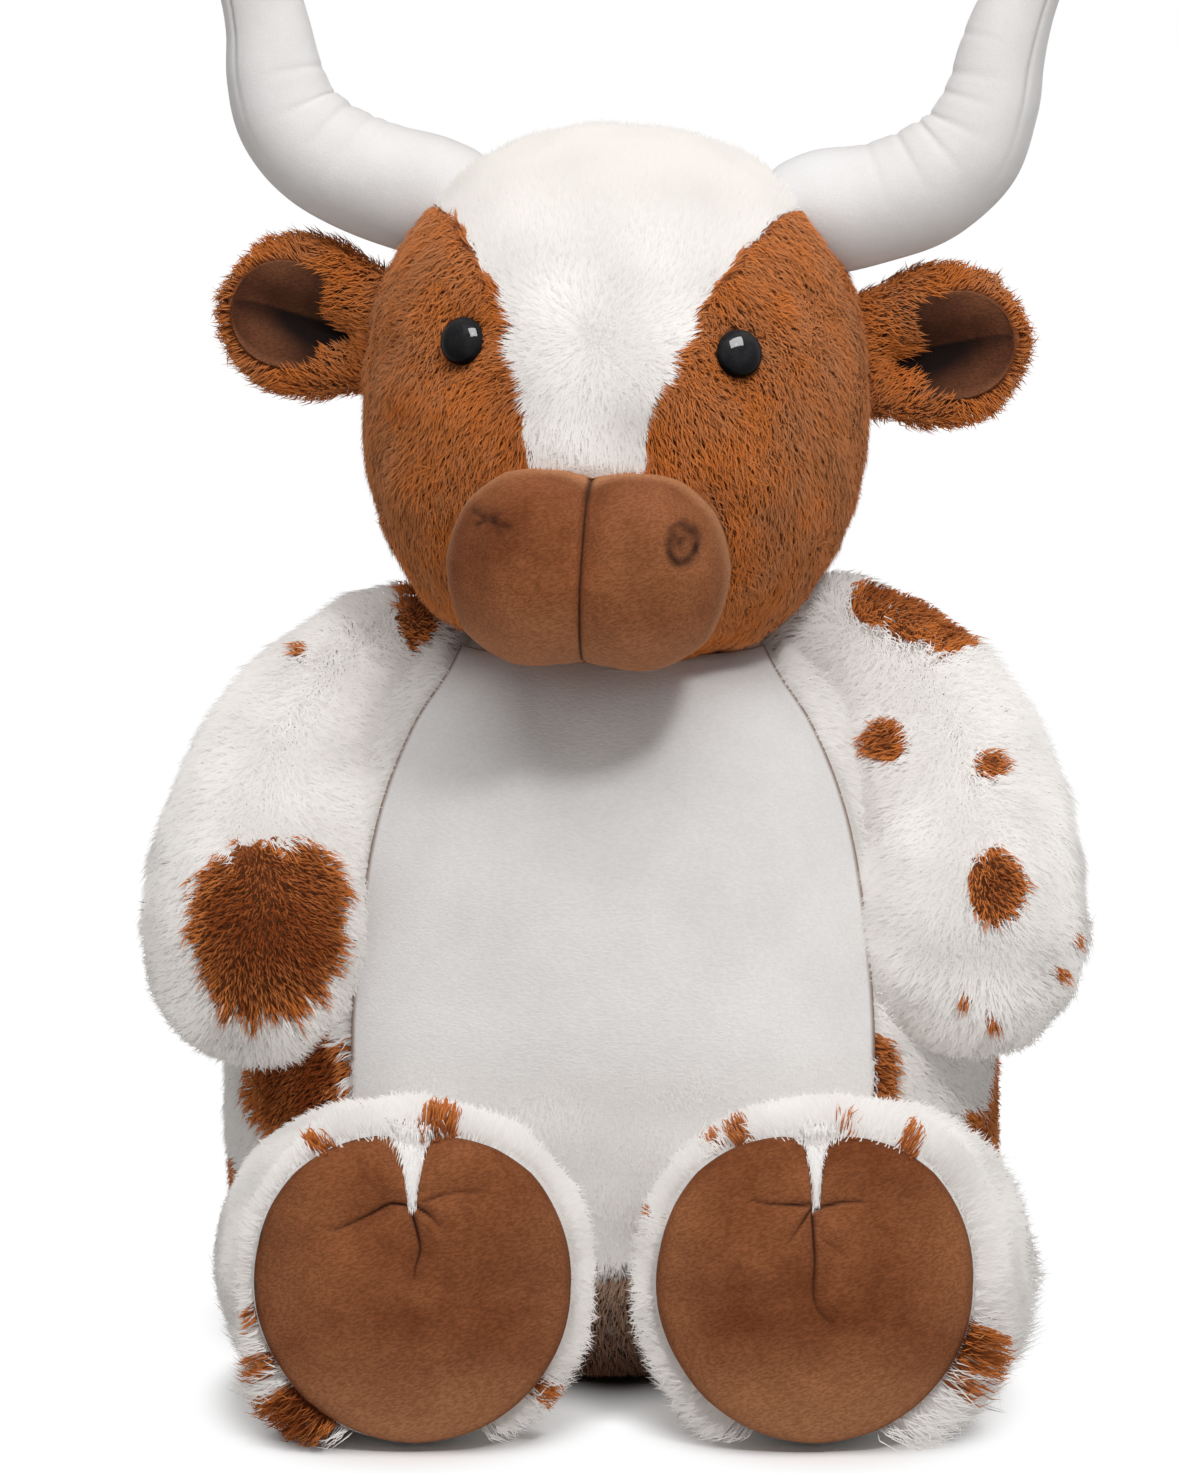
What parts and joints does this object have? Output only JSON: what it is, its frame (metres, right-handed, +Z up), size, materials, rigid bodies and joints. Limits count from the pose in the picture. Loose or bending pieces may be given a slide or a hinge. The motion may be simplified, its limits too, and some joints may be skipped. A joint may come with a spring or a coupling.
{
  "type": "plush cow",
  "caption": "Seated plush longhorn cow: sewn fur skins over stuffing, suede muzzle, ears and hooves, velour horns, and a head, arms, legs, ears and tail that move.",
  "frame": {"origin": "middle of the seat panel's underside", "axes": "+Z up, the toy faces -Y, its left side is +X"},
  "size_m": [0.2572, 0.2739, 0.4169],
  "materials": {
    "white_spotted_fur": "long white pile with rust patches",
    "rust_fur": "long rust pile",
    "short_pile_belly": "short brushed white pile",
    "white_velour": "smooth white velour",
    "brown_suede": "brown suede cloth",
    "dark_brown_suede": "dark brown suede cloth",
    "polyester_filling": "loose white polyester filling",
    "black_gloss_plastic": "polished black",
    "nylon_washer": "moulded, off-white"
  },
  "bodies": {
    "torso": {"torso_skin": "white_spotted_fur", "belly_panel": "short_pile_belly", "seat_panel": "white_spotted_fur", "torso_stuffing": "polyester_filling"},
    "neck": {"neck_skin": "white_spotted_fur", "neck_stuffing": "polyester_filling"},
    "head": {"head_skin": "rust_fur", "crown_panel": "white_spotted_fur", "head_stuffing": "polyester_filling", "muzzle_skin": "brown_suede", "muzzle_stuffing": "polyester_filling", "eye_left": "black_gloss_plastic", "eye_right": "black_gloss_plastic", "eye_washer_left": "nylon_washer", "eye_washer_right": "nylon_washer"},
    "ear_left": {"ear_left": "rust_fur", "ear_left_lining": "dark_brown_suede"},
    "horn_left": {"horn_left_skin": "white_velour", "horn_left_stuffing": "polyester_filling"},
    "arm_left": {"arm_left_skin": "white_spotted_fur", "arm_left_stuffing": "polyester_filling"},
    "leg_left": {"leg_left_skin": "white_spotted_fur", "leg_left_stuffing": "polyester_filling", "hoof_pad_left": "brown_suede"},
    "ear_right": {"ear_right": "rust_fur", "ear_right_lining": "dark_brown_suede"},
    "horn_right": {"horn_right_skin": "white_velour", "horn_right_stuffing": "polyester_filling"},
    "arm_right": {"arm_right_skin": "white_spotted_fur", "arm_right_stuffing": "polyester_filling"},
    "leg_right": {"leg_right_skin": "white_spotted_fur", "leg_right_stuffing": "polyester_filling", "hoof_pad_right": "brown_suede"},
    "tail": {"tail_cord": "white_spotted_fur", "tail_tuft": "rust_fur"}
  },
  "joints": [
    {"name": "neck_turn", "type": "hinge", "parent": "torso", "child": "neck", "pos_m": [0.001, -0.03, 0.17], "axis": [0, 0, 1], "range_deg": [-25, 25], "stiffness_Nm_per_rad": 0.8},
    {"name": "head_nod", "type": "hinge", "parent": "neck", "child": "head", "pos_m": [0.001, -0.03, 0.2615], "axis": [0.9947, -0.0958, -0.0384], "range_deg": [-8, 8], "stiffness_Nm_per_rad": 1.5},
    {"name": "arm_left_raise", "type": "hinge", "parent": "torso", "child": "arm_left", "pos_m": [0.062, -0.012, 0.194], "axis": [0, -1, 0], "range_deg": [0, 60]},
    {"name": "arm_right_raise", "type": "hinge", "parent": "torso", "child": "arm_right", "pos_m": [-0.0575, -0.012, 0.1915], "axis": [0, 1, 0], "range_deg": [0, 60]},
    {"name": "leg_left_splay", "type": "hinge", "parent": "torso", "child": "leg_left", "pos_m": [0.07, -0.084, 0.0375], "axis": [0, 0, 1], "range_deg": [0, 30], "stiffness_Nm_per_rad": 0.25},
    {"name": "leg_right_splay", "type": "hinge", "parent": "torso", "child": "leg_right", "pos_m": [-0.07, -0.084, 0.0375], "axis": [0, 0, -1], "range_deg": [0, 30], "stiffness_Nm_per_rad": 0.25},
    {"name": "ear_left_flap", "type": "hinge", "parent": "head", "child": "ear_left", "pos_m": [0.07063, -0.03068, 0.27905], "axis": [-0.1351, 0.013, 0.9907], "range_deg": [-25, 25], "stiffness_Nm_per_rad": 0.01},
    {"name": "ear_right_flap", "type": "hinge", "parent": "head", "child": "ear_right", "pos_m": [-0.06624, -0.0175, 0.28433], "axis": [0.2103, -0.0202, 0.9774], "range_deg": [-25, 25], "stiffness_Nm_per_rad": 0.01},
    {"name": "horn_left_flex", "type": "hinge", "parent": "head", "child": "horn_left", "pos_m": [0.05559, -0.02923, 0.31816], "axis": [0.0958, 0.9954, 0], "range_deg": [-8, 8], "stiffness_Nm_per_rad": 0.3},
    {"name": "horn_right_flex", "type": "hinge", "parent": "head", "child": "horn_right", "pos_m": [-0.04826, -0.01923, 0.32216], "axis": [0.0958, 0.9954, 0], "range_deg": [-8, 8], "stiffness_Nm_per_rad": 0.3},
    {"name": "tail_lift", "type": "hinge", "parent": "torso", "child": "tail", "pos_m": [0, 0.0925, 0.056], "axis": [1, 0, 0], "range_deg": [0, 80]}
  ]
}
